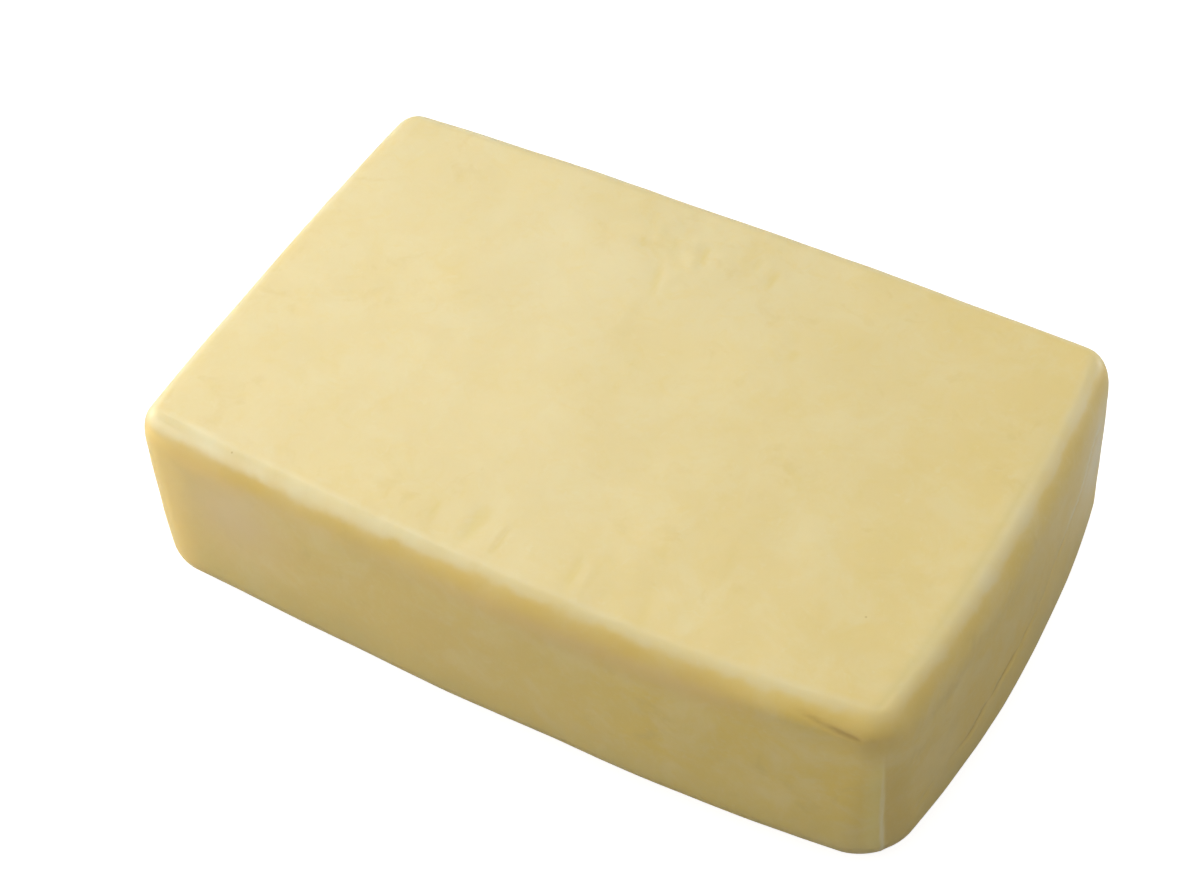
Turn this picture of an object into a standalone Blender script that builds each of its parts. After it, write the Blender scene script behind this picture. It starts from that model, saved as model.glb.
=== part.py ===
"""Edam cheese block: one rindless slab as it leaves a rectangular mould, about 15 kg.

The block starts as a sharp box of its mould's size, cut into a grid. Each point of the grid is
then moved: the edges are rounded, the sides swell outwards, the rim that sat under the mould's
lid stands a little proud, and the whole surface is faintly uneven. The underside stays flat.
Metres, +Z up. The origin is under the middle of the block, on its flat underside.
"""

import bmesh
import bpy
from math import exp, pi, tan
from mathutils import Vector, noise

MM = 0.001

# The mould: the block's size from corner to corner, before its sides swell.
LENGTH = 420 * MM
WIDTH = 268 * MM
HEIGHT = 118 * MM
RIM_IN = 11.5 * MM  # the top rounds over this far in from its sides
RIM_DOWN = 24 * MM  # and its rim reaches this far down them, so that it turns quickly at first
FOOT_RADIUS = 20.5 * MM  # rounding of the edge round the base, where the block's own weight bears
CORNER_TOP = 15 * MM  # rounding of the upright corners, at the top
CORNER_BASE = 25 * MM  # the same at the base
TAPER = 4 * MM  # how much further each long side stands out at its base than at its top

# How far the middle of each side stands out past its corners, at the base and at the top.
SWELL_BASE = {"left": 3 * MM, "right": 15 * MM, "front": 8.5 * MM, "back": 4 * MM}
SWELL_TOP = {"left": 3 * MM, "right": 9.5 * MM, "front": 12.5 * MM, "back": 4 * MM}
SWELL_POWER = 2.2  # 2 is a round arc from corner to corner, and more is flatter in the middle
FRONT_LEAN = 0.4  # the front's swell is this share larger to the right and smaller to the left
LEFT_BELLY = 2.5 * MM  # how far the left end stands out at half its height
CROWN = 1.2 * MM  # height of the top's middle above its rim

# The lip: the rim stands proud of the sides, with a shallow groove under it.
LIP_PROUD = 0.5 * MM
LIP_GROOVE = 0.3 * MM
LIP_DEPTH = 9 * MM  # depth of the lip's middle below the top
GROOVE_DEPTH = 26 * MM
LIP_WIDTH = 7 * MM

# The flap: at the right end of the front, the lip was squeezed further out from under the lid.
FLAP_START = 105 * MM  # its place along the block, where it begins
FLAP_RUN = 70 * MM  # it is fully grown this much further along
FLAP_PROUD = 2.5 * MM
FLAP_DEPTH = 8 * MM  # depth of its middle below the top
FLAP_WIDTH = 6.5 * MM

# Unevenness: long waves in the pressed surface, none near the underside.
WAVE_HEIGHT = 0.8 * MM
WAVE_LENGTH = 62 * MM
FLAT_BASE = 14 * MM  # the waves fade out over this height above the underside

CELL = 15 * MM
RIM_CUTS = 5  # cuts over each half of the rim's rounding
FOOT_CUTS = 5  # the same for the foot
CORNER_CUTS = 2  # further cuts where an upright corner reaches further in than the rim

CHEESE_YELLOW = (0.72, 0.53, 0.23, 1.0)
CHEESE_ROUGHNESS = 0.45


def clear_scene():
    for obj in list(bpy.data.objects):
        bpy.data.objects.remove(obj)


def ease(value):
    """0 below 0, 1 above 1, and a smooth step between."""
    value = min(max(value, 0.0), 1.0)
    return value * value * (3 - 2 * value)


def cuts_in(radius, count):
    """How far in from an end the cuts over its rounding lie, so that they turn by equal steps."""
    return [radius * (1 - tan(pi / 4 * step / count)) for step in range(count)]


def stations(length, low_cuts, high_cuts):
    """Where the box is cut along one side: over its two rounded ends, then evenly between."""
    first, last = max(low_cuts), length - max(high_cuts)
    count = round((last - first) / CELL)
    middle = [first + (last - first) * step / count for step in range(1, count)]
    return low_cuts + middle + [length - cut for cut in high_cuts]


def cut_box():
    """The mould's sharp box, standing on the ground, cut into a grid."""
    grid = bmesh.new()
    bmesh.ops.create_cube(grid, size=1.0)
    bmesh.ops.scale(grid, verts=grid.verts, vec=(LENGTH, WIDTH, HEIGHT))
    bmesh.ops.translate(grid, verts=grid.verts, vec=(0, 0, HEIGHT / 2))
    rim, foot = cuts_in(RIM_IN, RIM_CUTS), cuts_in(FOOT_RADIUS, FOOT_CUTS)
    further = (CORNER_BASE - RIM_IN) / CORNER_CUTS
    corner = rim + [RIM_IN + further * (step + 1) for step in range(CORNER_CUTS)]
    cuts = (
        [cut - LENGTH / 2 for cut in stations(LENGTH, corner, corner)],
        [cut - WIDTH / 2 for cut in stations(WIDTH, corner, corner)],
        stations(HEIGHT, foot, cuts_in(RIM_DOWN, RIM_CUTS)),
    )
    for axis, places in enumerate(cuts):
        normal = Vector((axis == 0, axis == 1, axis == 2))
        for place in places:
            everything = grid.verts[:] + grid.edges[:] + grid.faces[:]
            bmesh.ops.bisect_plane(grid, geom=everything, plane_co=normal * place, plane_no=normal)
    return grid


def rounded(point):
    """A point of the sharp box moved onto the rounded box, and the way the surface faces there."""
    share = point.z / HEIGHT
    # Seen from above: the upright corner's middle, and how far out from it the point lies.
    corner = CORNER_BASE + (CORNER_TOP - CORNER_BASE) * share
    middle = Vector((
        min(max(point.x, corner - LENGTH / 2), LENGTH / 2 - corner),
        min(max(point.y, corner - WIDTH / 2), WIDTH / 2 - corner),
    ))
    offset = point.xy - middle
    outward = offset.normalized()
    reach = max(abs(offset.x), abs(offset.y))
    # Seen from the side: the same for the rim or the foot.
    wide, deep = (RIM_IN, RIM_DOWN) if share > 0.5 else (FOOT_RADIUS, FOOT_RADIUS)
    inner = min(reach, corner - wide)
    level = min(max(point.z, FOOT_RADIUS), HEIGHT - RIM_DOWN)
    turn = Vector(((reach - inner) / wide, (point.z - level) / deep)).normalized()
    plan = middle + outward * (inner + wide * turn.x)
    sideways = outward * turn.x / wide
    facing = Vector((sideways.x, sideways.y, turn.y / deep)).normalized()
    return Vector((plan.x, plan.y, level + deep * turn.y)), facing


def swollen(point):
    """The rounded box with its sides bulged, its top crowned and its base a little wider."""
    across, along = point.x / (LENGTH / 2), point.y / (WIDTH / 2)
    share = point.z / HEIGHT
    end = "right" if across > 0 else "left"
    side = "back" if along > 0 else "front"
    swell_x = SWELL_BASE[end] + (SWELL_TOP[end] - SWELL_BASE[end]) * share
    swell_y = SWELL_BASE[side] + (SWELL_TOP[side] - SWELL_BASE[side]) * share
    swell_x *= 1 - min(abs(along), 1) ** SWELL_POWER
    swell_y *= 1 - min(abs(across), 1) ** SWELL_POWER
    if end == "left":
        swell_x += LEFT_BELLY * (1 - (2 * share - 1) ** 2)
    if side == "front":
        swell_y *= 1 + FRONT_LEAN * across
    spread = TAPER * (0.5 - share)
    crown = CROWN * ease(2 * share - 1) * (1 - across**2) * (1 - along**2)
    return point + Vector((swell_x * across, (swell_y + spread) * along, crown))


def relief(point, facing):
    """How far the surface stands out at a point: the lip, its groove, the flap and the waves."""
    below_top = HEIGHT - point.z
    sideways = 1 - facing.z**2
    lip = LIP_PROUD * exp(-(((below_top - LIP_DEPTH) / LIP_WIDTH) ** 2))
    groove = LIP_GROOVE * exp(-(((below_top - GROOVE_DEPTH) / LIP_WIDTH) ** 2))
    flap = FLAP_PROUD * exp(-(((below_top - FLAP_DEPTH) / FLAP_WIDTH) ** 2))
    flap *= ease((point.x - FLAP_START) / FLAP_RUN) * max(-facing.y, 0.0)
    waves = WAVE_HEIGHT * noise.noise(point / WAVE_LENGTH) * ease(point.z / FLAT_BASE)
    return sideways * (lip - groove) + flap + waves


def cheese_material():
    material = bpy.data.materials.new("edam_cheese")
    material.use_nodes = True
    shader = material.node_tree.nodes["Principled BSDF"]
    shader.inputs["Base Color"].default_value = CHEESE_YELLOW
    shader.inputs["Roughness"].default_value = CHEESE_ROUGHNESS
    shader.inputs["Metallic"].default_value = 0.0
    return material


def make_block():
    grid = cut_box()
    for vert in grid.verts:
        point, facing = rounded(vert.co)
        vert.co = swollen(point) + facing * relief(point, facing)
    # The sides swell by different amounts, so the origin is put back under the middle.
    for axis in (0, 1):
        reach = [vert.co[axis] for vert in grid.verts]
        middle = Vector()
        middle[axis] = (min(reach) + max(reach)) / 2
        bmesh.ops.translate(grid, verts=grid.verts, vec=-middle)
    bmesh.ops.recalc_face_normals(grid, faces=grid.faces)
    mesh = bpy.data.meshes.new("edam_block")
    grid.to_mesh(mesh)
    grid.free()
    mesh.shade_smooth()
    mesh.materials.append(cheese_material())
    block = bpy.data.objects.new("edam_block", mesh)
    bpy.context.scene.collection.objects.link(block)


clear_scene()
make_block()
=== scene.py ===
"""The looks of the rindless edam block: its skin, its wrinkles and its pale waxy flesh.

The block's form is the mould's: a sharp box with its edges rounded and its sides swollen. Here
it is cut finer than the solid it stands for, so that the folds of the press cloth can be real.
"""

from math import atan2, cos, exp, pi, radians, sin, tan

import bmesh
import bpy
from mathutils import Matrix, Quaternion, Vector, noise


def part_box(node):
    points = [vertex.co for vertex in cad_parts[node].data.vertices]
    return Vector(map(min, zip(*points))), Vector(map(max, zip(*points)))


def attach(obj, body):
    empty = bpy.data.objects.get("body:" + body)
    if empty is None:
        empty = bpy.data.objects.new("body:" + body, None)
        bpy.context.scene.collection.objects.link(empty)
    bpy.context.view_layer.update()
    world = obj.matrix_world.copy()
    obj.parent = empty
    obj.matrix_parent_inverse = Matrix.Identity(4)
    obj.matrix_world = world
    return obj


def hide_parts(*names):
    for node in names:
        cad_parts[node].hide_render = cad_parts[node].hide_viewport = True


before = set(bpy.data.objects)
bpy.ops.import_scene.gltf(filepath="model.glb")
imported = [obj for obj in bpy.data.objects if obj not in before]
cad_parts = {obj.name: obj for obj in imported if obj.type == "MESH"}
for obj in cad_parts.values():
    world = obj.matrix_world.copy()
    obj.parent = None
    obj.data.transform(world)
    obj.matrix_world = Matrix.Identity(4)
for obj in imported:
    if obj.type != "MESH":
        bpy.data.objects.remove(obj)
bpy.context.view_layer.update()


# ---------------------------------------------------------------------------------------------
# The block. About 15 kg of curd, pressed in a rectangular mould under a cloth and a lid, then
# ripened in a tight bag, so that it has no rind. Its own weight swells the sides a little, and
# the lid leaves a lip round the top.
# ---------------------------------------------------------------------------------------------

MM = 0.001

# The mould's box, and how its edges are rounded. The rim is the edge round the top, and the foot
# the one round the base.
LENGTH = 420 * MM
WIDTH = 268 * MM
HEIGHT = 118 * MM
RIM_IN = 11.5 * MM  # how far in from its sides the top rounds over
RIM_DOWN = 24 * MM  # and how far down them its rim reaches
FOOT_RADIUS = 20.5 * MM
CORNER_TOP = 15 * MM  # the upright corners' rounding at the top
CORNER_BASE = 25 * MM  # and at the base

# How far each side bulges in its middle, at the base and at the top.
SWELL_BASE = {"left": 3 * MM, "right": 15 * MM, "front": 8.5 * MM, "back": 4 * MM}
SWELL_TOP = {"left": 3 * MM, "right": 9.5 * MM, "front": 12.5 * MM, "back": 4 * MM}
SWELL_POWER = 2.2  # 2 gives a parabola, and more a squarer bulge
FRONT_LEAN = 0.4  # the front bulges by this share more at its right end, and less at its left
LEFT_BELLY = 2.5 * MM  # the left end's further bulge at half its height
TAPER = 4 * MM  # how much further the long sides stand out at the base than at the top
CROWN = 1.2 * MM  # how much higher the top's middle is

# The lip that the lid leaves round the top, and the shallow groove under it.
LIP_PROUD = 0.5 * MM
LIP_GROOVE = 0.3 * MM
LIP_DEPTH = 9 * MM  # below the top, as is the groove's depth
GROOVE_DEPTH = 26 * MM
LIP_WIDTH = 7 * MM

# The flap: at the right end of the front, the lip was squeezed further out from under the lid.
FLAP_START = 105 * MM
FLAP_RUN = 70 * MM  # it is fully grown this much further along
FLAP_PROUD = 2.5 * MM
FLAP_DEPTH = 8 * MM
FLAP_WIDTH = 6.5 * MM

# Long, shallow waves all over, which die out towards the flat base.
WAVE_HEIGHT = 0.8 * MM
WAVE_LENGTH = 62 * MM
FLAT_BASE = 14 * MM

CELL = 2.15 * MM  # the side of one face on the flat stretches
RIM_CUTS = 9  # cuts over the half of the rim's rounding that faces up
RIM_SIDE_CUTS = 12  # and over the half that faces out
FOOT_CUTS = 9  # and over the same half of the foot's
CORNER_CUTS = 5  # further cuts where an upright corner reaches further in than the rim

# Small dents all over the pressed skin.
DENT_HEIGHT = 0.16 * MM
DENT_LENGTH = 17 * MM

# The press cloth puckers where the lid met it, half way along both long edges of the top.
PUCKER_HEIGHT = 0.30 * MM
PUCKER_SPACING = 5.5 * MM
PUCKER_STRETCH = 4.5  # how much longer than wide they are
PUCKER_LEAST = 0.18  # what is left of them in the middle of the top
PUCKER_PATCHES = 22 * MM  # the size of the stretches with more or fewer of them
PUCKER_REACH = 45 * MM  # how far the puckers run in from each long edge
PUCKER_SPAN = 62 * MM  # how far they go to either side of the middle

# The deepest folds, each in millimetres: the middle's x and y, the length, the width, how far
# its far end leans to +X, and its height, which is below zero for a fold that is pressed in.
FOLDS = (
    (-18, 68, 26, 4.0, -8, -0.34),
    (-12, 60, 34, 3.6, -6, 0.14),
    (-22, 42, 22, 3.4, -3, 0.24),
    (-34, 100, 16, 3.0, -3, 0.30),
    (-38, 90, 9, 2.6, -4, -0.36),
    (-20, 92, 22, 4.0, -10, -0.24),
    (-10, 92, 22, 4.2, -7, 0.26),
    (-4, 94, 16, 3.4, -3, -0.38),
    (6, 98, 13, 3.2, -5, 0.22),
    (22, 102, 12, 3.2, -1, -0.26),
    (28, 98, 14, 3.4, 2, 0.26),
    (34, 94, 16, 3.6, -1, -0.34),
    (28, 62, 26, 2.8, -7, 0.16),
    (62, 64, 10, 4.0, 0, -0.22),
    (66, 52, 10, 5.0, 0, -0.30),
    (80, 40, 8, 4.0, 0, 0.22),
    (-40, -108, 16, 2.8, -2, -0.34),
    (-18, -104, 26, 6.0, 1, -0.34),
    (-6, -106, 13, 2.6, 0, 0.44),
    (-2, -108, 16, 2.6, 0, -0.34),
    (38, -108, 19, 4.4, -3, -0.30),
    (44, -106, 13, 3.4, -2, 0.22),
    (78, -114, 20, 5.0, -5, -0.28),
    (68, -80, 11, 3.4, -4, -0.22),
    (98, -74, 24, 4.0, -5, -0.20),
)

FOLD_ENDS = 1.6  # a fold has died out this many half lengths from its middle
FOLD_SIDES = 2.5  # and this many widths to its side
FOLD_NARROWS = 1.25  # how much narrower a fold is than its stated width
FOLD_RELIEF = 0.6  # the rest of a fold shows only as painted shade and light in its colour

# The crease under the flap, beside the near corner.
LIP_CREASE_FROM = Vector((166, 0, 111.8)) * MM
LIP_CREASE_TO = Vector((194, 0, 106.0)) * MM
LIP_CREASE_DEPTH = 1.0 * MM
LIP_CREASE_WIDTH = 1.25 * MM
LIP_CREASE_WOBBLE = 0.3 * MM
LIP_CREASE_WAVE = 9 * MM

# The crease over the right end, by its places along the end and its heights, in millimetres. It
# is deepest in its nearer half, and turns into a ridge with a painted highlight towards the far
# corner.
END_CREASE = (
    (-112, 33), (-90, 39), (-62, 36), (-42, 40), (-20, 43), (12, 48), (37, 62), (60, 71), (98, 88),
)
END_CREASE_DEPTH = 1.1 * MM
END_CREASE_WIDTH = 1.7 * MM
END_CREASE_WOBBLE = 1.1 * MM
END_RIDGE_SHARE = 0.6  # the ridge's height, as a share of the crease's depth

# The pleat: a ridge down the near upright corner, where the cheese filled the mould's seam. It
# rises gently over the front and drops steeply to the right end.
PLEAT_TURN = 0.552  # how far round the corner its foot lies, from 0 at the front to 1 at the end
PLEAT_LEAN = 0.12  # how much less that is at its top
PLEAT_TOP = 102 * MM
PLEAT_RISE = 0.50  # its gentle side's reach, on the same measure
PLEAT_DROP = 0.09  # and its steep side's
PLEAT_HEIGHT = 1.5 * MM
PLEAT_WOBBLE = 0.012
PLEAT_WAVE = 11 * MM
PLEAT_FOOT = (3 * MM, 25 * MM)  # it grows out of the foot between these heights
PLEAT_FADES = (PLEAT_TOP, PLEAT_TOP - 30 * MM)  # and dies out upwards between these
LEE_SHADE_FADES = (PLEAT_TOP + 4 * MM, PLEAT_TOP - 41 * MM)  # as does the painted shade beside it
CREST_HIGHLIGHT_FADES = (PLEAT_TOP + 4 * MM, PLEAT_TOP - 66 * MM)  # and the painted highlight on its very edge
CREST_HIGHLIGHT_REACH = (0.036, 0.006)  # how near the edge that line is: from a trace to its full strength

# The few small dark specks and pale nicks of the skin: x, y and z in millimetres, and the size.
DARK_SPECKS = (
    (171, -79, 118, 0.9),
    (-18, 68, 118, 0.7),
    (-150, -128, 117, 0.8),
    (-129, -129, 116, 0.8),
)
PALE_NICKS = (
    (204, 33, 112, 1.1),
    (181, 86, 117, 0.9),
    (191, -60, 117, 0.8),
    (-155, -112, 118, 0.9),
)


def ease(value):
    """0 below 0, 1 above 1, and a smooth step between."""
    value = min(max(value, 0.0), 1.0)
    return value * value * (3 - 2 * value)


def rise(value, start, full):
    """0 before the start, 1 from where it is full, and a smooth step between."""
    return ease((value - start) / (full - start))


def hump(value, middle, width):
    """1 at the middle, a third at the width from it, and near 0 at twice the width."""
    return exp(-(((value - middle) / width) ** 2))


def lumps(point, size, seed=(0, 0, 0)):
    """Smooth noise, mostly between -0.5 and 0.5, with lumps of this size."""
    return noise.noise(point / size + Vector(seed))


def cuts_in(radius, count):
    """How far in from an end the cuts over its rounding lie, so that they turn by equal steps."""
    return [radius * (1 - tan(pi / 4 * step / count)) for step in range(count)]


def stations(length, low_cuts, high_cuts):
    """Where the box is cut along one side: over its two rounded ends, then evenly between."""
    first, last = max(low_cuts), length - max(high_cuts)
    count = round((last - first) / CELL)
    middle = [first + (last - first) * step / count for step in range(1, count)]
    return sorted([0.0] + low_cuts + middle + [length - cut for cut in high_cuts] + [length])


def cut_box():
    """The mould's sharp box, standing on the ground, cut into a fine grid."""
    rim, foot = cuts_in(RIM_IN, RIM_CUTS), cuts_in(FOOT_RADIUS, FOOT_CUTS)
    further = (CORNER_BASE - RIM_IN) / CORNER_CUTS
    corner = rim + [RIM_IN + further * (step + 1) for step in range(CORNER_CUTS)]
    cuts = (
        [cut - LENGTH / 2 for cut in stations(LENGTH, corner, corner)],
        [cut - WIDTH / 2 for cut in stations(WIDTH, corner, corner)],
        stations(HEIGHT, foot, cuts_in(RIM_DOWN, RIM_SIDE_CUTS)),
    )
    grid = bmesh.new()
    bmesh.ops.create_cube(grid, size=1.0)
    for axis in range(3):
        along = [e for e in grid.edges if abs(e.verts[0].co[axis] - e.verts[1].co[axis]) > 0.5]
        bmesh.ops.subdivide_edges(grid, edges=along, cuts=len(cuts[axis]) - 2)
    for vert in grid.verts:
        for axis in range(3):
            vert.co[axis] = cuts[axis][round((vert.co[axis] + 0.5) * (len(cuts[axis]) - 1))]
    return grid


def rounded(point):
    """A point of the sharp box moved onto the rounded box, and the way the surface faces there."""
    share = point.z / HEIGHT
    # Seen from above: the upright corner's middle, and how far out from it the point lies.
    corner = CORNER_BASE + (CORNER_TOP - CORNER_BASE) * share
    middle = Vector((
        min(max(point.x, corner - LENGTH / 2), LENGTH / 2 - corner),
        min(max(point.y, corner - WIDTH / 2), WIDTH / 2 - corner),
    ))
    offset = point.xy - middle
    outward = offset.normalized()
    reach = max(abs(offset.x), abs(offset.y))
    # Seen from the side: the same for the rim or the foot.
    wide, deep = (RIM_IN, RIM_DOWN) if share > 0.5 else (FOOT_RADIUS, FOOT_RADIUS)
    inner = min(reach, corner - wide)
    level = min(max(point.z, FOOT_RADIUS), HEIGHT - RIM_DOWN)
    turn = Vector(((reach - inner) / wide, (point.z - level) / deep)).normalized()
    plan = middle + outward * (inner + wide * turn.x)
    sideways = outward * turn.x / wide
    facing = Vector((sideways.x, sideways.y, turn.y / deep)).normalized()
    return Vector((plan.x, plan.y, level + deep * turn.y)), facing


def swollen(point):
    """The rounded box with its sides bulged, its top crowned and its base a little wider."""
    across, along = point.x / (LENGTH / 2), point.y / (WIDTH / 2)
    share = point.z / HEIGHT
    end = "right" if across > 0 else "left"
    side = "back" if along > 0 else "front"
    swell_x = SWELL_BASE[end] + (SWELL_TOP[end] - SWELL_BASE[end]) * share
    swell_y = SWELL_BASE[side] + (SWELL_TOP[side] - SWELL_BASE[side]) * share
    swell_x *= 1 - min(abs(along), 1) ** SWELL_POWER
    swell_y *= 1 - min(abs(across), 1) ** SWELL_POWER
    if end == "left":
        swell_x += LEFT_BELLY * (1 - (2 * share - 1) ** 2)
    if side == "front":
        swell_y *= 1 + FRONT_LEAN * across
    spread = TAPER * (0.5 - share)
    crown = CROWN * ease(2 * share - 1) * (1 - across**2) * (1 - along**2)
    return point + Vector((swell_x * across, (swell_y + spread) * along, crown))


def side_share(point, facing):
    """1 on the sides, and 0 on the top and the underside."""
    return 1 - facing.z**2


def flat_top(facing):
    """1 on the flat of the top, and 0 where it has rolled over."""
    return rise(facing.z, 0.75, 1.0)


def pressed(point, facing):
    """How far the form stands out at a point: the lip, its groove, the flap, waves and dents."""
    below_top = HEIGHT - point.z
    lip = LIP_PROUD * hump(below_top, LIP_DEPTH, LIP_WIDTH)
    groove = LIP_GROOVE * hump(below_top, GROOVE_DEPTH, LIP_WIDTH)
    flap = FLAP_PROUD * hump(below_top, FLAP_DEPTH, FLAP_WIDTH)
    flap *= rise(point.x, FLAP_START, FLAP_START + FLAP_RUN) * max(-facing.y, 0.0)
    waves = WAVE_HEIGHT * lumps(point, WAVE_LENGTH)
    dents = DENT_HEIGHT * lumps(point, DENT_LENGTH, (7, 3, 1))
    above_base = ease(point.z / FLAT_BASE)
    return side_share(point, facing) * (lip - groove) + flap + (waves + dents) * above_base


def puckers(point, facing):
    """The fine wrinkles of the top, which run across the block and fade towards its middle."""
    if facing.z < 0.5:
        return 0.0
    from_edge = max(WIDTH / 2 - RIM_IN - abs(point.y), 0)
    inward = PUCKER_LEAST + (1 - PUCKER_LEAST) * hump(from_edge, 0, PUCKER_REACH)
    middle = hump(point.x, 0, PUCKER_SPAN)
    patchy = ease(0.5 + 1.1 * lumps(point, PUCKER_PATCHES, (1, 9, 4)))
    run = Vector((point.x, point.y / PUCKER_STRETCH, 0)) / PUCKER_SPACING
    return PUCKER_HEIGHT * noise.noise(run) * inward * middle * patchy * flat_top(facing)


def folds(point, facing):
    """The deepest folds of the top."""
    height = 0.0
    if facing.z > 0.5:
        for middle_x, middle_y, length, width, lean, fold_height in FOLDS:
            along = (point.y / MM - middle_y) / (length / 2)
            aside = (point.x / MM - middle_x - lean * along / 2) / width
            if abs(along) < FOLD_ENDS and abs(aside) < FOLD_SIDES:
                height += fold_height * MM * exp(-(along**4) - (FOLD_NARROWS * aside) ** 2)
    return height * flat_top(facing)


def wrinkled(point, facing):
    """The puckers and the folds together, as a share of the puckers' height."""
    return (puckers(point, facing) + folds(point, facing)) / PUCKER_HEIGHT


def lip_crease(point, facing):
    """How near a point is to the crease under the flap: 1 in it, 0 away from it."""
    run = LIP_CREASE_TO - LIP_CREASE_FROM
    share = (point.x - LIP_CREASE_FROM.x) / run.x
    if facing.y > -0.2 or not -0.3 < share < 1.2:
        return 0.0
    height = LIP_CREASE_FROM.z + run.z * share + LIP_CREASE_WOBBLE * lumps(point, LIP_CREASE_WAVE)
    ends = ease(1.3 * share + 0.3) * ease(6 * (1.1 - share))
    broken = 1 - 0.5 * hump(share, 0.42, 0.13)
    width = LIP_CREASE_WIDTH * (0.7 + 0.5 * ease(share))
    return ends * broken * hump(point.z, height, width)


def above_end_crease(point):
    """How far above the right end's crease a point lies, as a share of the crease's width."""
    place = point.y / MM
    height = END_CREASE[0][1]
    for (y, z), (next_y, next_z) in zip(END_CREASE, END_CREASE[1:]):
        height += (next_z - z) * rise(place, y, next_y)
    wobble = END_CREASE_WOBBLE * noise.noise(Vector((place / 17, 3, 5)))
    return (point.z - height * MM - wobble) / END_CREASE_WIDTH


def end_crease(point, facing):
    """How near a point is to the crease over the right end: 1 in it, 0 away from it."""
    if facing.x < 0.5:
        return 0.0
    place = point.y / MM
    broken = ease(0.9 + 1.2 * noise.noise(Vector((place / 16, 8, 2))))
    nearer_half = 0.35 + 0.65 * rise(place, -75, -55) * rise(place, 15, -10)
    depth = max(nearer_half, 0.8 * rise(place, 25, 45))
    ends = rise(place, -116, -106) * rise(place, 108, 94)
    return broken * depth * ends * hump(above_end_crease(point), 0, 1)


def end_ridge(point, facing):
    """The ridge above the crease, from the middle of the right end to its far corner, whose whitish
    colour is a painted highlight.
    """
    if facing.x < 0.5:
        return 0.0
    place = point.y / MM
    return rise(place, 35, 60) * rise(place, 108, 94) * hump(above_end_crease(point), 1.7, 1.3)


def past_pleat(point, facing):
    """How far round the near corner a point lies past the pleat's crest, as a share of the turn."""
    turn = 2 / pi * atan2(facing.x, -facing.y) + PLEAT_WOBBLE * lumps(point, PLEAT_WAVE)
    return turn - PLEAT_TURN + PLEAT_LEAN * point.z / PLEAT_TOP


def on_near_corner(facing):
    """Whether the surface turns from the front to the right end, or faces the right end."""
    return facing.x >= 0.02 and facing.y <= 0


def pleat(point, facing):
    """The height of the pleat, from 0 to 1."""
    if not on_near_corner(facing):
        return 0.0
    past = past_pleat(point, facing)
    upright = rise(point.z, *PLEAT_FOOT) * rise(point.z, *PLEAT_FADES)
    gentle = ease(1 + past / PLEAT_RISE) ** 1.5
    steep = ease(1 - past / PLEAT_DROP)
    return upright * (gentle if past < 0 else steep)


def pleat_lee_shade(point, facing):
    """Painted shade, in brown, in the lee of the pleat, on the right end."""
    if not on_near_corner(facing):
        return 0.0
    past = past_pleat(point, facing)
    beside = rise(past, 0, 0.6 * PLEAT_DROP) * rise(past, 1.3 * PLEAT_RISE, 0.3 * PLEAT_RISE)
    return beside * rise(point.z, *LEE_SHADE_FADES)


def crest_highlight(point, facing):
    """The painted highlight, a whitish line, down the pleat's very edge, which thins out upwards.
    """
    if not on_near_corner(facing):
        return 0.0
    upright = rise(point.z, *PLEAT_FOOT) * rise(point.z, *CREST_HIGHLIGHT_FADES)
    return upright * rise(abs(past_pleat(point, facing)), *CREST_HIGHLIGHT_REACH)


# How the skin's colour follows the form. Most of the functions below give the strength of one
# shade of the skin. Places are counted from the block's middle, and heights from its base, before
# the sides are swollen. A pair of them is where a shade starts and where it is full.

BROAD_WANDER = 1.2 * MM  # how far the bands along the rim wander, in long waves
BROAD_WAVE = 19 * MM
FINE_WANDER = 0.9 * MM  # and in short ones
FINE_WAVE = 5.5 * MM
SINKS_OVER = 110 * MM  # the bands lie lower and lower to the left, over this stretch


def rim_wobble(point):
    """The bands along the rim aren't ruled: they wander by a millimetre or so."""
    broad = BROAD_WANDER * lumps(point, BROAD_WAVE, (4, 1, 7))
    return broad + FINE_WANDER * lumps(point, FINE_WAVE, (2, 8, 3))


def sunk(point):
    """0 in the block's right half, and 1 towards the left end, where the bands lie lower."""
    return rise(-point.x, 0, SINKS_OVER)


def left_edge_sheen(point, facing):
    """The far side of the left end's near corner, which gets the same painted sheen as the rim."""
    return rise(-facing.x, 0.45, 0.85) * rise(-point.y, 96 * MM, 116 * MM)


# Painted sheen: the skin is painted paler where the top rounds over, for the lights' reflection,
# most of all along the front and the right end. Each side's band has four places, in millimetres
# outwards from where the top starts to round over: where it starts, where it is palest, where it
# starts to fade and where it has gone.
RIM_SHEEN_BANDS = {
    "front": (-2.6, 2.2, 3.6, 6.6),
    "right": (-3.0, 2.0, 4.8, 6.7),
    "left": (-0.5, 4.5, 7.5, 9.5),
    "back": (0.0, 3.2, 7.0, 9.5),
}
RIM_SHEEN_SINKS = 2.2  # how much further out the front's band reaches at the left, in millimetres
RIM_SHEEN_THINS = 0.45  # what it loses along the nearer part of the right end
RIM_SHEEN_THINS_OVER = (30 * MM, 80 * MM)
RIM_SHEEN_ON_EDGE = 0.9  # its strength on the left end's near corner
RIM_SHEEN_DEPTH = 3.2 * MM  # at the right end it fades out below this depth, over as much again
RIM_SHEEN_STREAKS = 13 * MM
WHITER_SHEEN_HALF = (20 * MM, -80 * MM)  # it gets whiter to the left


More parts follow.
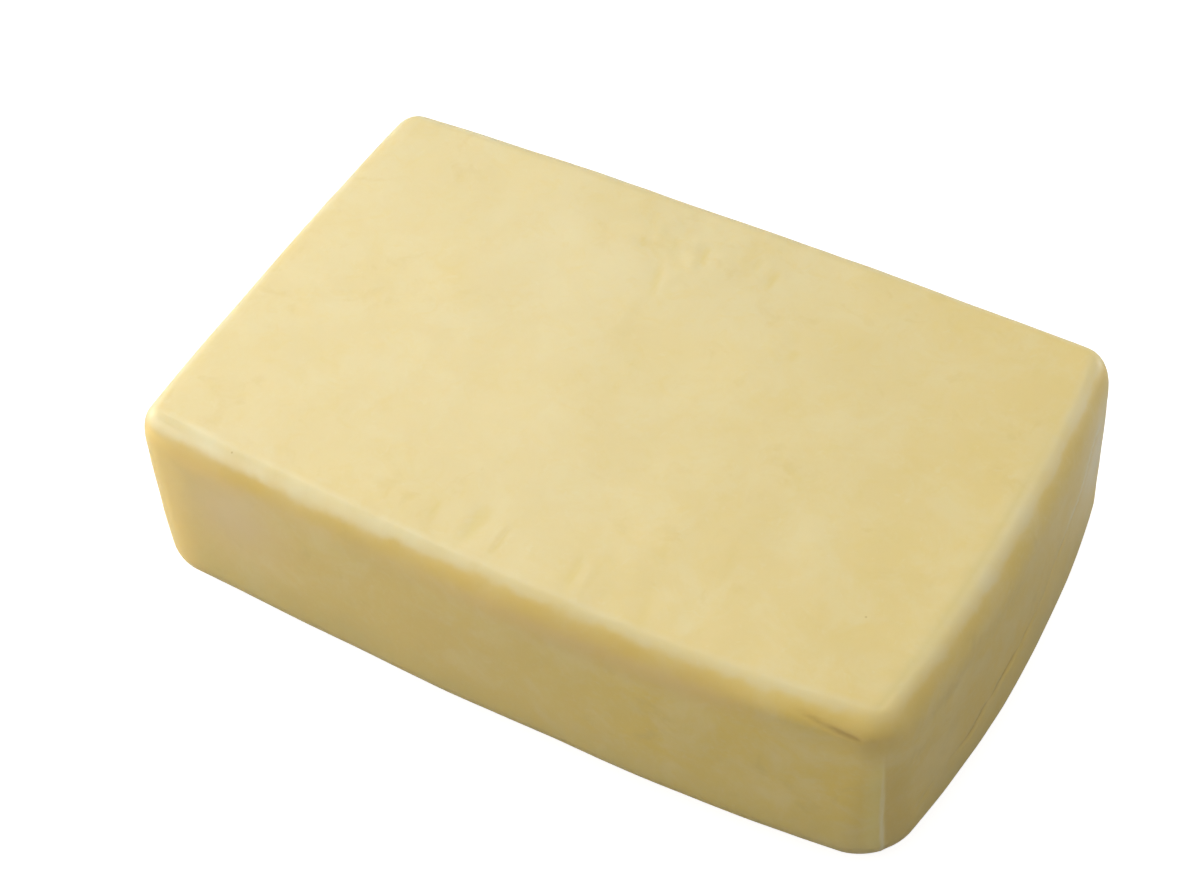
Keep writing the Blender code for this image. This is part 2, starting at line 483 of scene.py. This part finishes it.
def rim_sheen(point, facing):
    """How much painted sheen the skin has: all round the rim."""
    wobble = rim_wobble(point)
    rim_x, rim_y = LENGTH / 2 - RIM_IN, WIDTH / 2 - RIM_IN
    outwards = {
        "front": -point.y - rim_y,
        "right": point.x - rim_x,
        "left": -point.x - rim_x,
        "back": point.y - rim_y,
    }
    sheen_strength = RIM_SHEEN_ON_EDGE * left_edge_sheen(point, facing)
    for side, (start, full, fade, end) in RIM_SHEEN_BANDS.items():
        place = (outwards[side] + wobble) / MM
        sinks = RIM_SHEEN_SINKS * sunk(point) if side == "front" else 0.0
        thins = RIM_SHEEN_THINS * rise(-point.y, *RIM_SHEEN_THINS_OVER) if side == "right" else 0.0
        band = rise(place, start, full) * rise(place, end + sinks, fade + sinks)
        sheen_strength = max(sheen_strength, band * (1 - thins))
    down_corner = rise(HEIGHT - point.z + wobble, RIM_SHEEN_DEPTH, 2 * RIM_SHEEN_DEPTH)
    down_corner *= ease(point.x / (LENGTH / 2))
    streaks = 0.8 + 0.5 * lumps(point, RIM_SHEEN_STREAKS, (5, 5, 1))
    return sheen_strength * (1 - down_corner) * streaks


def whiter_sheen_end(point, facing):
    """The painted sheen is whiter in the block's left half."""
    return rise(point.x, *WHITER_SHEEN_HALF) * (1 - left_edge_sheen(point, facing))


DARKEST_BEFORE_RIM = 1.8 * MM  # how far before the right end's rim the top is darkest
DARKER_BAND_WIDTH = 3.3 * MM
DARKER_ACROSS = (90 * MM, -10 * MM)  # from nothing at the back to its full strength in the middle


def darker_before_right_rim(point, facing):
    """Just before the right end's rim, the top is a little darker, least of all at the back."""
    before_rim = LENGTH / 2 - RIM_IN - DARKEST_BEFORE_RIM
    darker_band = hump(point.x + rim_wobble(point), before_rim, DARKER_BAND_WIDTH)
    return darker_band * rise(point.y, *DARKER_ACROSS) * max(facing.z, 0.0)


# Just below the rim the skin is painted a deeper, clearer yellow, as the glow and shade where the
# light turns away: a line along the front and the back, and a fainter one on the ends. On the
# near corner it spreads into a patch of painted shade.
LINE_SINKS = 3.4 * MM  # how much lower the line lies at the left
LINE_LOWER = 0.8 * MM  # and on the right end
TERMINATOR_LINE = (2.2 * MM, 4.6 * MM)  # below the top: from no yellow to the deepest
TERMINATOR_LINE_FADES = (6.5 * MM, 14.5 * MM)  # and from the deepest to none again
TERMINATOR_PATCHES = 26 * MM  # the size of the stretches where the line is deep or faint
SHADED_CORNER = Vector((196, -131)) * MM  # the patch's middle, seen from above
SHADED_CORNER_SIZE = 17 * MM
SHADED_CORNER_DEPTH = 13 * MM  # and its depth below the top
SHADED_CORNER_HEIGHT = 11 * MM


def below_rim(point, facing):
    """How far below the top a point lies, as the yellow line's wandering course has it."""
    below_top = HEIGHT - point.z + rim_wobble(point)
    return below_top - LINE_SINKS * sunk(point) - LINE_LOWER * max(facing.x, 0.0)


def terminator_shade(point, facing):
    """How much painted shade, in a deep yellow, the skin has: most in the line under the rim and on
    the near corner.
    """
    below = below_rim(point, facing)
    line = rise(below, *TERMINATOR_LINE) * (1 - rise(below, *TERMINATOR_LINE_FADES))
    line *= 1 - 0.7 * max(-facing.x, 0.0)
    line *= 1 - max(facing.x, 0.0) * (0.5 + 0.4 * hump(point.y, 10 * MM, 55 * MM))
    patchy = ease(0.6 + 1.1 * lumps(point, TERMINATOR_PATCHES, (3, 6, 2)))
    shaded_corner = hump((point.xy - SHADED_CORNER).length, 0, SHADED_CORNER_SIZE)
    shaded_corner *= hump(below, SHADED_CORNER_DEPTH, SHADED_CORNER_HEIGHT)
    return max(line * (0.35 + 0.65 * patchy), shaded_corner)


REDDER_DEPTH = 14 * MM  # below the top
REDDER_WIDTH = 8 * MM
REDDEST = (-60 * MM, 40 * MM)  # it gets redder to the right
REDDER_ENDS = (165 * MM, 115 * MM)  # but stops short of the near corner


def shade_under_line(point, facing):
    """Below its yellow line the front is painted a little redder and darker, as shade, most of all
    right of the middle.
    """
    along = (0.45 + 0.55 * rise(point.x, *REDDEST)) * rise(point.x, *REDDER_ENDS)
    return hump(HEIGHT - point.z, REDDER_DEPTH, REDDER_WIDTH) * along * max(-facing.y, 0.0)


# Light comes through the cheese at the front's left end, and turns it golden. The places along
# the front are counted to the left.
LEFT_END = (120 * MM, 190 * MM)
GOLD_LINE_DEPTH = 11 * MM  # the yellow line is thicker here
GOLD_LINE_WIDTH = 9 * MM
GOLD_BORDER = (170 * MM, 192 * MM)
GOLD_CORNER = (165 * MM, 195 * MM)  # low down
GOLD_CORNER_HEIGHTS = (58.5 * MM, 13.5 * MM)
GOLD_BELOW = (2 * MM, 7 * MM)  # below the rim
GLOWING_BORDER = (175 * MM, 206 * MM)
GLOW_BELOW = (4 * MM, 10 * MM)


def golden(point, facing):
    """How golden the front is at its left end: along the rim, the end's corner and the foot."""
    below = below_rim(point, facing)
    left_end = rise(-point.x, *LEFT_END) * max(-facing.y, 0.0)
    thick_line = 0.9 * left_end * hump(below, GOLD_LINE_DEPTH, GOLD_LINE_WIDTH)
    border = left_end * rise(-point.x, *GOLD_BORDER)
    low_corner = left_end * rise(-point.x, *GOLD_CORNER) * rise(point.z, *GOLD_CORNER_HEIGHTS)
    corner = rise(min(-facing.x, -facing.y), 0, 1 / 3) * side_share(point, facing)
    gold = max(thick_line, corner, border, low_corner)
    return gold * rise(below, *GOLD_BELOW) * (1 - left_edge_sheen(point, facing))


def border_glow(point, facing):
    """How much more it glows along the left end's near corner."""
    wobble = rim_wobble(point)
    glow = rise(wobble - point.x, *GLOWING_BORDER) * max(-facing.y, 0.0)
    below = rise(HEIGHT - point.z + wobble, *GLOW_BELOW)
    return glow * below * (1 - left_edge_sheen(point, facing))


LOW_SHADE_HEIGHTS = (52.5 * MM, 10.5 * MM)
LOW_SHADE_WANDER = 9 * MM
LOW_SHADE_WAVE = 30 * MM


def low_side_shade(point, facing):
    """How much painted shade, in an olive tint, the lower part of the sides has."""
    height = point.z + LOW_SHADE_WANDER * lumps(point, LOW_SHADE_WAVE)
    return rise(height, *LOW_SHADE_HEIGHTS) * side_share(point, facing)


def sheen_to_shade(point, facing):
    """0 at the top's far left, painted paler for the key light's sheen, and 1 towards the near
    right and the right end, painted deeper for their shade.
    """
    right_end = rise(point.x, 95 * MM, 190 * MM)
    near_right = rise(-point.y, 20 * MM, 120 * MM) * rise(point.x, -20 * MM, 110 * MM)
    far_left = rise(point.y, -30 * MM, 80 * MM) * rise(point.x, 120 * MM, 0)
    return 0.5 + 0.5 * max(right_end, near_right) - 0.5 * far_left


FRONT_HAZE_PATCH = Vector((-150, -134, 78)) * MM
FRONT_HAZE_SIZE = 30 * MM
FAR_GLINT_PATCH = Vector((210, 101, 70)) * MM
FAR_GLINT_SIZE = 26 * MM


def front_haze(point, facing):
    """A painted reflection, a greyish pink haze, at the front's left end."""
    return hump((point - FRONT_HAZE_PATCH).length, 0, FRONT_HAZE_SIZE)


def far_end_glint(point, facing):
    """A painted reflection, a whitish patch, at the right end's far side."""
    return hump((point - FAR_GLINT_PATCH).length, 0, FAR_GLINT_SIZE)


# What the finish needs to know at each point: an attribute of the mesh for each.
MARKS = {
    "side": side_share, "fold": wrinkled, "lip_crease": lip_crease, "end_crease": end_crease,
    "end_ridge": end_ridge, "pleat": pleat, "pleat_lee_shade": pleat_lee_shade, "crest_highlight": crest_highlight, "rim_sheen": rim_sheen,
    "whiter_sheen_end": whiter_sheen_end, "darker_before_right_rim": darker_before_right_rim, "deep": terminator_shade, "shade_under_line": shade_under_line,
    "gold": golden, "border_glow": border_glow, "low_side_shade": low_side_shade, "toward_shade": sheen_to_shade,
    "front_haze": front_haze, "far_end_glint": far_end_glint,
}


def relief(marks):
    """How far the wrinkles, creases and pleat at a point stand out."""
    height = FOLD_RELIEF * PUCKER_HEIGHT * marks["fold"] - LIP_CREASE_DEPTH * marks["lip_crease"]
    height += END_CREASE_DEPTH * (END_RIDGE_SHARE * marks["end_ridge"] - marks["end_crease"])
    return height + PLEAT_HEIGHT * marks["pleat"]


def make_block():
    """The block's mesh, with its marks as attributes, and how far it was moved to the frame."""
    grid = cut_box()
    known = {name: [] for name in MARKS}
    for vert in grid.verts:
        point, facing = rounded(vert.co)
        marks = {name: mark(point, facing) for name, mark in MARKS.items()}
        for name, value in marks.items():
            known[name].append(value)
        vert.co = swollen(point) + facing * (pressed(point, facing) + relief(marks))
    low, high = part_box("edam_block")
    shift = Vector()
    for axis in (0, 1):
        reach = [vert.co[axis] for vert in grid.verts]
        shift[axis] = (low[axis] + high[axis] - min(reach) - max(reach)) / 2
    bmesh.ops.translate(grid, verts=grid.verts, vec=shift)
    bmesh.ops.recalc_face_normals(grid, faces=grid.faces)
    mesh = bpy.data.meshes.new("cheese_block")
    grid.to_mesh(mesh)
    grid.free()
    for name, values in known.items():
        mesh.attributes.new(name, "FLOAT", "POINT").data.foreach_set("value", values)
    mesh.shade_smooth()
    block = bpy.data.objects.new("cheese_block", mesh)
    bpy.context.scene.collection.objects.link(block)
    return block, shift


# A Mix node has sockets for each kind of value. These are the ones for colours, by their numbers.
MIX_SHARE = 0
MIX_COLOUR = 6
MIX_OTHER = 7
MIX_RESULT = 2


class Signal:
    """A shader socket. Sums on it add Math nodes, and add() puts in any other node."""

    def __init__(self, tree, socket=None):
        self.tree = tree
        self.socket = socket

    def add(self, kind, settings=None, inputs=None, output=0):
        """A new node: its settings come first, then the values or links of its sockets."""
        node = self.tree.nodes.new(kind)
        for name, value in (settings or {}).items():
            setattr(node, name, value)
        for name, value in (inputs or {}).items():
            if isinstance(value, Signal):
                self.tree.links.new(value.socket, node.inputs[name])
            else:
                node.inputs[name].default_value = value
        return Signal(self.tree, node.outputs[output])

    def sum(self, operation, *values):
        return self.add("ShaderNodeMath", {"operation": operation}, dict(enumerate(values)))

    def __add__(self, other):
        return self.sum("ADD", self, other)

    def __sub__(self, other):
        return self.sum("SUBTRACT", self, other)

    def __rsub__(self, other):
        return self.sum("SUBTRACT", other, self)

    def __mul__(self, other):
        return self.sum("MULTIPLY", self, other)

    __radd__ = __add__
    __rmul__ = __mul__

    def between(self, low, high):
        """0 at low, 1 at high, with a smooth step between."""
        limits = {"From Min": low, "From Max": high}
        smooth = {"interpolation_type": "SMOOTHSTEP"}
        return self.add("ShaderNodeMapRange", smooth, {"Value": self, **limits})

    def tint(self, colour, other):
        """The colour where this is 0, and the other where this is 1."""
        ends = {MIX_SHARE: self, MIX_COLOUR: colour, MIX_OTHER: other}
        return self.add("ShaderNodeMix", {"data_type": "RGBA"}, ends, MIX_RESULT)


# The colours of the skin and of what shows through it, from the palest flesh to the creases.
# The top's flesh: paler at its far left for the key light's painted sheen, deeper at its near right
# for painted shade.
SHEENED_TOP_FLESH = (0.748, 0.625, 0.302, 1.0)
SHADED_TOP_FLESH = (0.752, 0.598, 0.238, 1.0)
SIDE_FLESH = (0.742, 0.566, 0.226, 1.0)  # the sides are painted a deeper yellow than the top, for the warmer light in their shade
SHADED_SIDE_FLESH = (0.745, 0.556, 0.145, 1.0)  # and deepest at the near right, as painted shade
CREAM = (0.770, 0.665, 0.350, 1.0)  # the paler patches, where more butterfat shows; also painted light on the raised folds
SIDE_CREAM = (0.770, 0.625, 0.275, 1.0)
BUTTER = (0.745, 0.585, 0.205, 1.0)  # the deeper yellow ones
AMBER = (0.675, 0.515, 0.165, 1.0)  # small blotches
# a painted reflection: a greyish pink haze at the front's left end
FRONT_HAZE = (0.745, 0.570, 0.300, 1.0)
FOLD_SHADE_YELLOW = (0.712, 0.556, 0.160, 1.0)  # painted shade in the folds that are pressed in
LOW_SIDE_SHADE = (0.600, 0.480, 0.175, 1.0)  # painted shade low on the sides
TERMINATOR_YELLOW = (0.720, 0.505, 0.112, 1.0)  # painted shade in the line under the rim
GOLD = (0.850, 0.605, 0.198, 1.0)  # where light comes through the left end
GLOWING_GOLD = (0.950, 0.730, 0.260, 1.0)  # and most along its border
RIM_SHEEN = (0.748, 0.648, 0.362, 1.0)  # the painted sheen where the top rounds over
LEFT_RIM_SHEEN = (0.810, 0.728, 0.450, 1.0)  # and in the left half, where it is whiter
DARKER_BEFORE_RIM = (0.600, 0.505, 0.205, 1.0)  # the darker band just before the right end's rim
SHADE_UNDER_LINE = (0.715, 0.500, 0.192, 1.0)  # painted shade, a little redder, below the front's yellow line
PLEAT_HIGHLIGHT = (0.800, 0.680, 0.260, 1.0)  # the painted highlight on the pleat
LEE_SHADE = (0.600, 0.440, 0.140, 1.0)  # painted shade beside the pleat
HIGHLIGHT_WHITE = (0.780, 0.700, 0.480, 1.0)  # the whitish painted highlight, as on the pleat's very edge
# painted shade in the creases, and the dark specks' own colour
CREASE_SHADE_AND_SPECK_BROWN = (0.420, 0.260, 0.055, 1.0)

LIGHT_REACH = 9 * MM  # how far light goes into the flesh
LIGHT_REACH_BY_COLOUR = (1.0, 0.62, 0.22)  # red goes furthest
SKIN_RELIEF = 0.3 * MM


def cheese_skin(shift):
    """Mottled pale flesh under a thin, slightly greasy skin that lets the light in."""
    material = bpy.data.materials.new("edam_skin")
    material.use_nodes = True
    shader = material.node_tree.nodes["Principled BSDF"]
    start = Signal(material.node_tree)
    place = start.add("ShaderNodeTexCoord", output="Object")

    def speckle(size, detail, seed, roughness=0.55, distortion=0.0):
        """Cloudy noise, with its largest features of this size."""
        ends = {0: place, 1: Vector((seed,) * 3)}
        moved = start.add("ShaderNodeVectorMath", {"operation": "ADD"}, ends)
        inputs = {"Vector": moved, "Scale": 1 / size, "Detail": detail, "Roughness": roughness}
        return start.add("ShaderNodeTexNoise", {}, {**inputs, "Distortion": distortion})

    def near(name):
        """One of the block's marks, from its mesh."""
        return start.add("ShaderNodeAttribute", {"attribute_name": name}, output="Fac")

    def spots(places):
        """1 in each of the small round spots, whose sizes are their radii in millimetres."""
        total = 0.0
        for x, y, z, size in places:
            ends = {0: place, 1: Vector((x, y, z)) * MM + shift}
            away = start.add("ShaderNodeVectorMath", {"operation": "DISTANCE"}, ends, "Value")
            total = total + (1 - away.between(0.3 * size * MM, size * MM))
        return total

    side = near("side")
    clouds = speckle(30 * MM, 6, 1.0, 0.62, 0.5)
    curds = speckle(13 * MM, 5, 4.0, 0.60, 0.8)
    grain = speckle(2.8 * MM, 3, 2.0)
    drift = speckle(75 * MM, 2, 9.0)
    blotch = speckle(17 * MM, 4, 6.0, 0.55, 0.6).between(0.55, 0.72)
    cluster = speckle(64 * MM, 2, 7.0).between(0.42, 0.60)
    flecks = speckle(6.5 * MM, 3, 3.0, 0.55, 0.6).between(0.60, 0.74)

    # Each layer tints those before it by its strength, where its mark or its noise is high. The
    # noise lies around 0.5, and between() picks out its higher part.
    # Painted sheen and shade: paler at the top's far left, deeper on the sides and towards the near
    # right.
    colour = near("toward_shade").tint(SHEENED_TOP_FLESH, SHADED_TOP_FLESH)
    colour = side.tint(colour, near("toward_shade").tint(SIDE_FLESH, SHADED_SIDE_FLESH))
    colour = (drift.between(0.42, 0.62) * 0.30).tint(colour, BUTTER)
    cream = side.tint(CREAM, SIDE_CREAM)
    colour = (clouds.between(0.42, 0.68) * (0.42 + side * 0.30)).tint(colour, cream)
    colour = (curds.between(0.46, 0.72) * (0.40 + side * 0.40)).tint(colour, BUTTER)
    colour = (blotch * cluster * (0.32 + side * 0.28)).tint(colour, AMBER)
    colour = (flecks * (0.25 + side * 0.08)).tint(colour, cream)
    colour = (grain.between(0.5, 0.8) * (0.10 + side * 0.25)).tint(colour, cream)
    # Painted reflection at the front's left end.
    colour = (near("front_haze") * 0.75).tint(colour, FRONT_HAZE)
    # Painted shade, in olive, darkening the sides towards the base.
    colour = (near("low_side_shade") * (0.35 + curds * 0.35)).tint(colour, LOW_SIDE_SHADE)
    # Painted shade below the front's yellow line.
    colour = (near("shade_under_line") * 0.60).tint(colour, SHADE_UNDER_LINE)
    colour = (near("darker_before_right_rim") * 0.45).tint(colour, DARKER_BEFORE_RIM)
    # The painted sheen round the rim, whiter in the left half.
    sheen_colour = near("whiter_sheen_end").tint(RIM_SHEEN, LEFT_RIM_SHEEN)
    colour = (near("rim_sheen") * (0.30 + clouds * 0.80)).tint(colour, sheen_colour)
    # Painted shade, in a deep yellow, in the line under the rim and on the near corner.
    colour = (near("deep") * (0.40 + curds * 0.50)).tint(colour, TERMINATOR_YELLOW)
    colour = (near("gold") * (0.50 + curds * 0.50)).tint(colour, GOLD)
    colour = (near("border_glow") * 0.80).tint(colour, GLOWING_GOLD)
    fold = near("fold")
    # The folds' own yellower streaks, with painted shade in the pressed-in ones and painted light
    # on the raised ones for the rest of their relief.
    colour = ((0 - fold).between(0.1, 1.5) * 0.60).tint(colour, FOLD_SHADE_YELLOW)
    colour = (fold.between(0.2, 1.6) * 0.30).tint(colour, CREAM)
    # Painted reflection at the right end's far side.
    colour = (near("far_end_glint") * (0.60 + clouds * 0.45)).tint(colour, HIGHLIGHT_WHITE)
    # Painted highlights on the pleat and down its very edge.
    colour = (near("pleat").between(0.2, 0.9) * 0.60).tint(colour, PLEAT_HIGHLIGHT)
    colour = (near("crest_highlight") * 0.70).tint(colour, HIGHLIGHT_WHITE)
    # Painted shade in the lee of the pleat.
    colour = (near("pleat_lee_shade") * 0.42).tint(colour, LEE_SHADE)
    # Painted shade in the two creases.
    colour = (near("lip_crease") * 0.70).tint(colour, CREASE_SHADE_AND_SPECK_BROWN)
    colour = (near("end_crease").between(0.1, 1.0) * 0.55).tint(colour, CREASE_SHADE_AND_SPECK_BROWN)
    # Painted highlight on the ridge over the right end.
    colour = (near("end_ridge") * 0.90).tint(colour, HIGHLIGHT_WHITE)
    colour = (spots(PALE_NICKS) * 0.60).tint(colour, CREAM)
    colour = (spots(DARK_SPECKS) * 0.55).tint(colour, CREASE_SHADE_AND_SPECK_BROWN)

    grease = speckle(19 * MM, 4, 12.0)
    dimples = speckle(7 * MM, 2, 13.0)
    pores = grain * 0.14 + dimples * 0.5 + curds * 0.5
    pressed_in = {"Height": pores, "Strength": 0.4, "Distance": SKIN_RELIEF}
    bump = start.add("ShaderNodeBump", {}, pressed_in)
    links = {
        "Base Color": colour,
        "Roughness": 0.42 + grease.between(0.35, 0.65) * 0.14,
        "Coat Weight": 0.20 + grease.between(0.40, 0.70) * 0.25,
        "Normal": bump,
    }
    for name, signal in links.items():
        material.node_tree.links.new(signal.socket, shader.inputs[name])
    shader.subsurface_method = "BURLEY"
    shader.inputs["Subsurface Weight"].default_value = 0.85
    shader.inputs["Subsurface Radius"].default_value = LIGHT_REACH_BY_COLOUR
    shader.inputs["Subsurface Scale"].default_value = LIGHT_REACH
    shader.inputs["IOR"].default_value = 1.45
    shader.inputs["Coat Roughness"].default_value = 0.28
    shader.inputs["Coat IOR"].default_value = 1.48
    return material


block, block_shift = make_block()
block.data.materials.append(cheese_skin(block_shift))
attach(block, "root")
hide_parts("edam_block")


# ---------------------------------------------------------------------------------------------
# The table: a wide, matt, nearly white sheet that the block stands on. It glows a little, as a
# light table does, so that the shadow on it stays faint. Only the camera sees it. Under it lie
# the sheet that throws light back at the block's sides, and the one that its skin reflects.
# ---------------------------------------------------------------------------------------------

TABLE_SIZE = 12.0  # metres
TABLE_DROP = 0.4 * MM  # it lies just under the block, so that the two don't share a plane
TABLE_WHITE = (0.50, 0.50, 0.50, 1.0)
TABLE_GLOW = 1.62
BOUNCE_DROP = 1.2 * MM
BOUNCE_GREY = (0.28, 0.27, 0.255, 1.0)
MIRRORED_DROP = 0.8 * MM
MIRRORED_WHITE = (0.60, 0.60, 0.58, 1.0)


def make_sheet(name, drop, colour, glow):
    """One flat square of the table, this far below the ground, in a matt paint that may glow."""
    sheet = bmesh.new()
    bmesh.ops.create_grid(sheet, x_segments=1, y_segments=1, size=TABLE_SIZE / 2)
    bmesh.ops.translate(sheet, verts=sheet.verts, vec=(0, 0, -drop))
    mesh = bpy.data.meshes.new(name)
    sheet.to_mesh(mesh)
    sheet.free()
    paint = bpy.data.materials.new(name)
    paint.use_nodes = True
    shader = paint.node_tree.nodes["Principled BSDF"]
    shader.inputs["Base Color"].default_value = colour
    shader.inputs["Roughness"].default_value = 0.9
    shader.inputs["Specular IOR Level"].default_value = 0.2
    shader.inputs["Emission Color"].default_value = colour
    shader.inputs["Emission Strength"].default_value = glow
    mesh.materials.append(paint)
    sheet_object = bpy.data.objects.new(name, mesh)
    bpy.context.scene.collection.objects.link(sheet_object)
    return sheet_object


table = make_sheet("table", TABLE_DROP, TABLE_WHITE, TABLE_GLOW)
mirrored = make_sheet("table_mirrored", MIRRORED_DROP, MIRRORED_WHITE, 0.0)
bounce = make_sheet("table_bounce", BOUNCE_DROP, BOUNCE_GREY, 0.0)
for sheet in (table, mirrored):
    sheet.visible_diffuse = False
    sheet.visible_shadow = False
for sheet in (table, bounce):
    sheet.visible_glossy = False
for sheet in (mirrored, bounce):
    sheet.visible_camera = False


# ---------------------------------------------------------------------------------------------
# The light: a pale room, brightest at the left, and a large soft key light high up at the back
# left, so that the front and the right end lie in soft shade. Three small ones help it: a fill
# for the front, a low one that shines into the left end, and one at the far right corner.
# ---------------------------------------------------------------------------------------------

ROOM_CEILING = (0.64, 0.64, 0.64, 1.0)
ROOM_WALLS = (0.58, 0.57, 0.55, 1.0)
LIT_SIDE = Vector((-1.0, -0.2, 0.0))  # the room is brightest to the left
BRIGHTEST = 1.25  # its brightness there, as a share of the rest

world = bpy.data.worlds.new("room")
world.use_nodes = True
bpy.context.scene.world = world
background = world.node_tree.nodes["Background"]
sky = Signal(world.node_tree)
direction = sky.add("ShaderNodeTexCoord", output="Generated")
height = sky.add("ShaderNodeSeparateXYZ", {}, {"Vector": direction}, output="Z")
room = height.between(0.0, 0.9).tint(ROOM_WALLS, ROOM_CEILING)
world.node_tree.links.new(room.socket, background.inputs["Color"])
to_lit = {0: direction, 1: LIT_SIDE}
lit = sky.add("ShaderNodeVectorMath", {"operation": "DOT_PRODUCT"}, to_lit, output="Value")
strength = 1.0 + lit.between(0.0, 0.9) * (BRIGHTEST - 1)
world.node_tree.links.new(strength.socket, background.inputs["Strength"])


def soft_light(name, place, target, size, watts, colour):
    """A round lamp at a place, aimed at the target, which the camera doesn't see."""
    data = bpy.data.lights.new(name, "AREA")
    data.shape = "DISK"
    data.size = size
    data.energy = watts
    data.color = colour
    light = bpy.data.objects.new(name, data)
    light.location = place
    light.rotation_euler = (Vector(place) - Vector(target)).to_track_quat("Z", "Y").to_euler()
    light.visible_camera = False
    bpy.context.scene.collection.objects.link(light)


soft_light("key", (-1.7, 1.4, 2.6), (0, 0, 0.05), 1.9, 36.6, (1.0, 0.99, 0.97))
soft_light("fill", (-0.9, -0.7, 0.4), (-0.1, 0, 0.05), 0.6, 3.9, (1.0, 0.96, 0.88))
soft_light("left", (-1.2, -0.06, 0.08), (-0.2, 0, 0.05), 0.5, 4, (1.0, 0.97, 0.90))
soft_light("far_corner", (0.34, 0.36, 0.12), (0.2, 0.08, 0.05), 0.12, 0.16, (1.0, 0.98, 0.95))


# ---------------------------------------------------------------------------------------------
# The camera: a short telephoto that looks down over the near right corner, tilted a little.
# ---------------------------------------------------------------------------------------------

CAMERA_TARGET = Vector((-25.0, 9.3, 50)) * MM
CAMERA_TURN = radians(32.24)  # from the front towards the right end
CAMERA_RISE = radians(48.80)  # above the ground
CAMERA_TILT = radians(-4.06)
CAMERA_DISTANCE = 1.3820  # metres
LENS = 79.25  # millimetres, on a sensor 36 wide

camera_data = bpy.data.cameras.new("camera")
camera_data.lens = LENS
camera_data.sensor_width = 36
camera = bpy.data.objects.new("camera", camera_data)
level = Vector((sin(CAMERA_TURN), -cos(CAMERA_TURN), 0)) * cos(CAMERA_RISE)
towards_camera = level + Vector((0, 0, sin(CAMERA_RISE)))
camera.location = CAMERA_TARGET + towards_camera * CAMERA_DISTANCE
aim = towards_camera.to_track_quat("Z", "Y") @ Quaternion((0, 0, 1), CAMERA_TILT)
camera.rotation_euler = aim.to_euler()
bpy.context.scene.collection.objects.link(camera)
bpy.context.scene.camera = camera
bpy.context.scene.view_settings.view_transform = "Standard"
